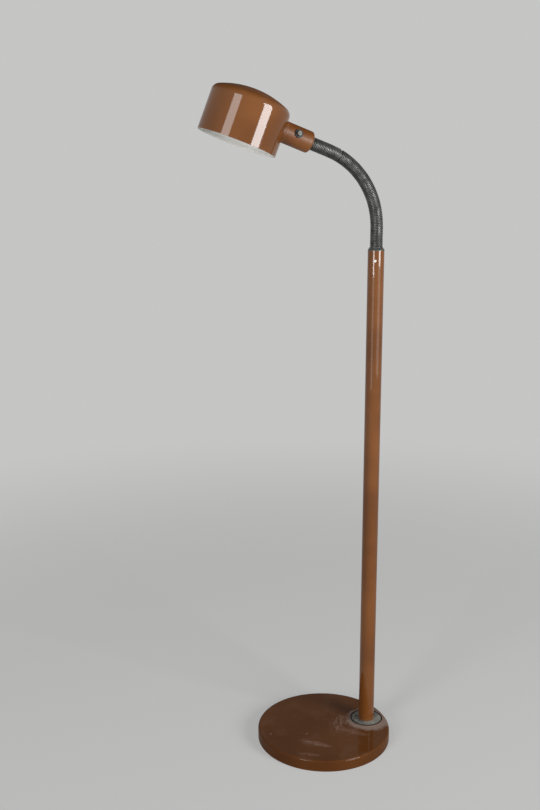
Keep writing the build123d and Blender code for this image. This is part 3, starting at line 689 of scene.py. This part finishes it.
def makeWhiteEnamel():
    values = {"Coat Weight": 0.4, "Coat Roughness": 0.05}
    material, tree, sockets = startMaterial("whiteEnamel", values)
    colour, peel = enamelColours(tree, enamel["white"], 40.0)
    put(tree, sockets["Base Color"], colour)
    put(tree, sockets["Roughness"], stretch(tree, peel, 0.3, 0.7, 0.22, 0.34))
    addRelief(tree, sockets, peel, 0.05)
    return material


opal = {"dark": (0.84, 0.83, 0.80, 1), "light": (0.92, 0.92, 0.90, 1)}


def makeOpalGlass():
    values = {"Coat Weight": 0.5, "Coat Roughness": 0.02}
    material, tree, sockets = startMaterial("opalGlass", values)
    skin = useGroup(tree, paintSkin, {"Peel": 90.0, "Drift": 35.0})
    put(tree, sockets["Base Color"], blendColours(tree, skin["Tone"], opal["dark"], opal["light"]))
    put(tree, sockets["Roughness"], stretch(tree, skin["Tone"], 0.0, 1.0, 0.22, 0.30, False))
    addRelief(tree, sockets, skin["Height"], 0.03)
    return material


felt = {"dark": (0.018, 0.030, 0.018, 1), "light": (0.050, 0.078, 0.048, 1), "fibres": 900.0}


def makeFelt():
    values = {"Sheen Weight": 0.5, "Specular IOR Level": 0.1}
    material, tree, sockets = startMaterial("felt", values)
    spot = placed(tree)
    fibres = noise(tree, spot, felt["fibres"], detail=5.0, roughness=0.7)
    patches = noise(tree, spot, 60.0)
    both = times(tree, maths(tree, "ADD", fibres, patches), 0.5)
    tone = stretch(tree, both, 0.35, 0.65)
    put(tree, sockets["Base Color"], blendColours(tree, tone, felt["dark"], felt["light"]))
    put(tree, sockets["Roughness"], stretch(tree, fibres, 0.3, 0.7, 0.88, 1.0))
    addRelief(tree, sockets, fibres, 0.6, 0.0006)
    return material


finishes = {
    "brown_enamel": makeBrownEnamel("brownEnamel", enamel["brown"]["coatRoughness"]),
    "white_enamel": makeWhiteEnamel(),
    "opal_glass": makeOpalGlass(),
    "felt": makeFelt(),
}
for looks, make in ((metals, makeMetal), (irons, makeIron), (moulded, makeMoulded)):
    for slotName, look in looks.items():
        finishes[slotName] = make(slotName.title().replace("_", ""), look)
ownFinish = {
    "shade": makeShadeEnamel(),
    "collar": makeBrownEnamel("collarEnamel", enamel["collarCoat"]),
    "base_cover": makeBaseEnamel(),
}
for part in frame["record"]["subparts"]:
    piece = nodes[part["node"]]
    finish = ownFinish.get(part["node"], finishes[part["material_slot"]])
    piece.data.materials.clear()
    piece.data.materials.append(finish)
print("finishes on", len(nodes), "pieces")


# Gooseneck: round wire wound over the groove of a flat one, with the lead inside. It is
# made in lengths that each reach across one joint. At one joint the length is cut in
# two, and its pieces turn on a ball.
gooseneck = {
    "turn": 0.0031,  # from one turn of the wire to the next
    "crest": 0.0123,  # radius over the round wire
    "valley": 0.0111,  # radius over the flat wire between its turns
    "wire": 0.0025,  # width of the round wire that stands proud
    "bore": 0.0085,
    "rowsPerTurn": 12,
    "rowsAcross": 60,
    "leadRadius": 0.0030,
    "leadRows": 6,
    "leadAcross": 16,
    "endGap": 0.00006,
    "settle": 0.001,  # distance in from each end of a length
    "shoulder": 0.0014,  # plain ring against the collar
    "turnedRound": "neck_bend_3",  # joint at which the near and far bodies of its length change places
    "cutAt": "neck_bend_6",  # joint where the winding is cut
    "cutGap": 0.0013,  # from the joint to each cut
    "ball": 0.0108,
    "ballEnd": 0.0040,
    "socket": 0.01086,
    "socketDepth": 0.0062,
    "leadGap": 0.0006,
}


def neckJoints():
    # The neck's joints in turn, from the stand to the head
    chain, body = [], "stand"
    while body:
        found = [j for j in frame["joints"] if j["parent"] == body and j["name"].startswith("neck")]
        chain += found[:1]
        body = found[0]["child"] if found else None
    return chain


chain = neckJoints()
marks = [Vector(joint["pos_m"]) for joint in chain]  # where each joint lies
spans = [(far - near).length for near, far in zip(marks, marks[1:])]  # from one to the next
alongs = [sum(spans[:count]) for count in range(len(marks))]  # from the first to each


def wayAt(mark):
    # Direction of the neck at a joint
    if mark == 0:
        return Vector((0, 0, 1))
    if mark >= len(marks) - 1:
        return (marks[-1] - marks[-2]).normalized()
    return (marks[mark + 1] - marks[mark - 1]).normalized()


def neckPlace(along):
    # Point and direction at a distance along the neck from its first joint: straight
    # beyond the end joints, and a smooth curve through those between
    if along <= 0:
        return marks[0] + wayAt(0) * along, wayAt(0)
    if along >= alongs[-1]:
        return marks[-1] + wayAt(len(marks)) * (along - alongs[-1]), wayAt(len(marks))
    mark = max(count for count in range(len(spans)) if alongs[count] <= along)
    near, far, span = marks[mark], marks[mark + 1], spans[mark]
    leave, arrive = wayAt(mark) * span, wayAt(mark + 1) * span
    t = (along - alongs[mark]) / span
    place = (
        near * (2 * t**3 - 3 * t**2 + 1) + leave * (t**3 - 2 * t**2 + t)
        + far * (3 * t**2 - 2 * t**3) + arrive * (t**3 - t**2)
    )
    way = (
        near * (6 * t**2 - 6 * t) + leave * (3 * t**2 - 4 * t + 1)
        + far * (6 * t - 6 * t**2) + arrive * (3 * t**2 - 2 * t)
    )
    return place, way.normalized()


def ringAt(along, radii):
    # Points round the neck at a distance along it, each at its own radius
    place, way = neckPlace(along)
    across = Vector((0, 1, 0))
    outward = across.cross(way).normalized()
    ring = []
    for step, radius in enumerate(radii):
        turn = step * math.tau / len(radii)
        ring.append(place + (outward * math.cos(turn) + across * math.sin(turn)) * radius)
    return ring


def wireRadius(along, turned):
    # Radius of the wound wire at a distance along the neck and a share of a turn
    plan = gooseneck
    off = ((along / plan["turn"] - turned) % 1.0 - 0.5) * plan["turn"]
    rise = 1 - (2 * off / plan["wire"]) ** 2
    if rise <= 0:
        return plan["valley"]
    return plan["valley"] + (plan["crest"] - plan["valley"]) * math.sqrt(rise)


def addTube(corners, faces, slots, rings, closed, slot):
    # Faces between rings of the same count. A closed tube joins its last ring to its
    # first, and an open one gets a flat face at each end.
    start, count = len(corners), len(rings[0])
    for ring in rings:
        corners.extend(ring)
    pairs = list(zip(range(len(rings)), range(1, len(rings))))
    if closed:
        pairs.append((len(rings) - 1, 0))
    for low, high in pairs:
        for step in range(count):
            after = (step + 1) % count
            faces.append((
                start + low * count + step, start + low * count + after,
                start + high * count + after, start + high * count + step,
            ))
            slots.append(slot)
    if not closed:
        last = len(corners) - count
        faces.append(tuple(range(start + count - 1, start - 1, -1)))
        faces.append(tuple(range(last, last + count)))
        slots.extend([slot, slot])


def spread(start, stop, rows):
    return [start + (stop - start) * row / (rows - 1) for row in range(rows)]


def finishPiece(name, corners, faces, slots, materials, sharp=50):
    # A smooth mesh with sharp edges where its faces turn by more than this many degrees
    mesh = bpy.data.meshes.new(name)
    mesh.from_pydata(corners, [], faces)
    for material in materials:
        mesh.materials.append(material)
    mesh.polygons.foreach_set("material_index", slots)
    mesh.polygons.foreach_set("use_smooth", [True] * len(faces))
    mesh.update()
    mesh.set_sharp_from_angle(angle=math.radians(sharp))
    piece = bpy.data.objects.new(name, mesh)
    scene.collection.objects.link(piece)
    return piece


def windLength(name, start, stop, ballAt=None, socketAt=None):
    # A ball follows its end, or a socket its start, where the winding is cut at a joint.
    plan = gooseneck
    corners, faces, slots = [], [], []
    across = plan["rowsAcross"]
    rows = max(4, round((stop - start) / plan["turn"] * plan["rowsPerTurn"]))
    rings = [
        ringAt(along, [wireRadius(along, step / across) for step in range(across)])
        for along in spread(start, stop, rows)
    ]
    tip, rear, leadStart, leadStop = stop, start, start, stop
    if ballAt is not None:
        for off in spread(-plan["cutGap"], plan["ballEnd"], plan["leadRows"]):
            rings.append(ringAt(ballAt + off, [math.sqrt(plan["ball"] ** 2 - off**2)] * across))
        tip, leadStop = ballAt + plan["ballEnd"], ballAt - plan["leadGap"]
    if socketAt is not None:
        rear, leadStart = socketAt + plan["socketDepth"], socketAt + plan["leadGap"]
    back = spread(tip, rear, plan["leadRows"])
    rings += [ringAt(along, [plan["bore"]] * across) for along in back]
    if socketAt is not None:
        rings += [ringAt(along, [plan["socket"]] * across) for along in (rear, start)]
    addTube(corners, faces, slots, rings, True, 0)
    lead = [
        ringAt(along, [plan["leadRadius"]] * plan["leadAcross"])
        for along in spread(leadStart, leadStop, plan["leadRows"])
    ]
    addTube(corners, faces, slots, lead, False, 1)
    materials = [finishes["black_nickel"], finishes["lead_jacket"]]
    return finishPiece(name, corners, faces, slots, materials)


def collarEnd():
    # Distance along the neck at which the collar's end face lies
    way = wayAt(len(marks))
    corners = nodes["collar"].data.vertices
    return alongs[-1] + min((corner.co - marks[-1]).dot(way) for corner in corners)


def windCutLength(name, near, far, start, stop, mark):
    # Two rigid pieces either side of the joint at this mark
    pieces = {
        near: windLength(name + "_near", start, mark - gooseneck["cutGap"], ballAt=mark),
        far: windLength(name + "_far", mark + gooseneck["cutGap"], stop, socketAt=mark),
    }
    for body, piece in pieces.items():
        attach(piece, body)
    return list(pieces.values())


def windBentLength(name, near, far, start, stop, turnedRound):
    # One piece across its joint, tied to neither of its bodies
    piece = windLength(name, start, stop)
    last = alongs[-1] + spans[-1] / 2
    first = neckPlace(start + gooseneck["settle"])[0]
    after = neckPlace(min(stop, last) - gooseneck["settle"])[0]
    if turnedRound:
        near, far, first, after = far, near, after, first
    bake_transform(piece)
    return [piece]


def buildNeck():
    plan = gooseneck
    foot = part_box("neck_ferrule")[1].z - marks[0].z + plan["endGap"]
    top = collarEnd() - plan["shoulder"] - plan["endGap"]
    middles = [(near + far) / 2 for near, far in zip(alongs, alongs[1:])]
    cuts = [foot, *middles, top]
    for count, joint in enumerate(chain):
        name = f"neckWinding_{count + 1:02d}"
        where = joint["parent"], joint["child"], cuts[count], cuts[count + 1]
        if joint["name"] == plan["cutAt"]:
            pieces = windCutLength(name, *where, alongs[count])
        else:
            pieces = windBentLength(name, *where, joint["name"] == plan["turnedRound"])
        for piece in pieces:
            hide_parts(f"neck_link_{min(count + 1, len(chain) - 1):02d}", "neck_lead")
    return top


# Plain ring against the collar, and the thread that screws into it
neckEnd = {
    "rim": 0.0003,  # bevel of the ring
    "bore": 0.0052,
    "across": 64,
    "sharp": 30,
    "thread": 0.0102,
    "threadLength": 0.0116,
    "threadPitch": 0.0015,
    "threadDepth": 0.0005,
    "groove": 0.25,  # share of the pitch at which the groove lies
    "ridge": 0.75,
    "tipDepth": 0.0006,
}


def buildNeckEnd(top):
    plan = neckEnd
    corners, faces, slots = [], [], []
    crest, rim, thread = gooseneck["crest"], plan["rim"], plan["thread"]
    start = top + gooseneck["endGap"]
    face = start + gooseneck["shoulder"] - gooseneck["endGap"] / 2
    outline = [(start, crest - rim), (start + rim, crest), (face - rim, crest), (face, crest - rim)]
    for turn in range(int(plan["threadLength"] / plan["threadPitch"])):
        base = face + turn * plan["threadPitch"]
        outline.append((base + plan["threadPitch"] * plan["groove"], thread - plan["threadDepth"]))
        outline.append((base + plan["threadPitch"] * plan["ridge"], thread))
    outline.append((face + plan["threadLength"], thread - plan["tipDepth"]))
    outline.append((face + plan["threadLength"], plan["bore"]))
    outline.append((start, plan["bore"]))
    rings = [ringAt(along, [radius] * plan["across"]) for along, radius in outline]
    addTube(corners, faces, slots, rings, True, 0)
    materials = [finishes["black_nickel"]]
    piece = finishPiece("neckShoulder", corners, faces, slots, materials, plan["sharp"])
    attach(piece, "head")
    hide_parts("neck_end")


buildNeckEnd(buildNeck())
print("gooseneck wound in", len(chain), "lengths")
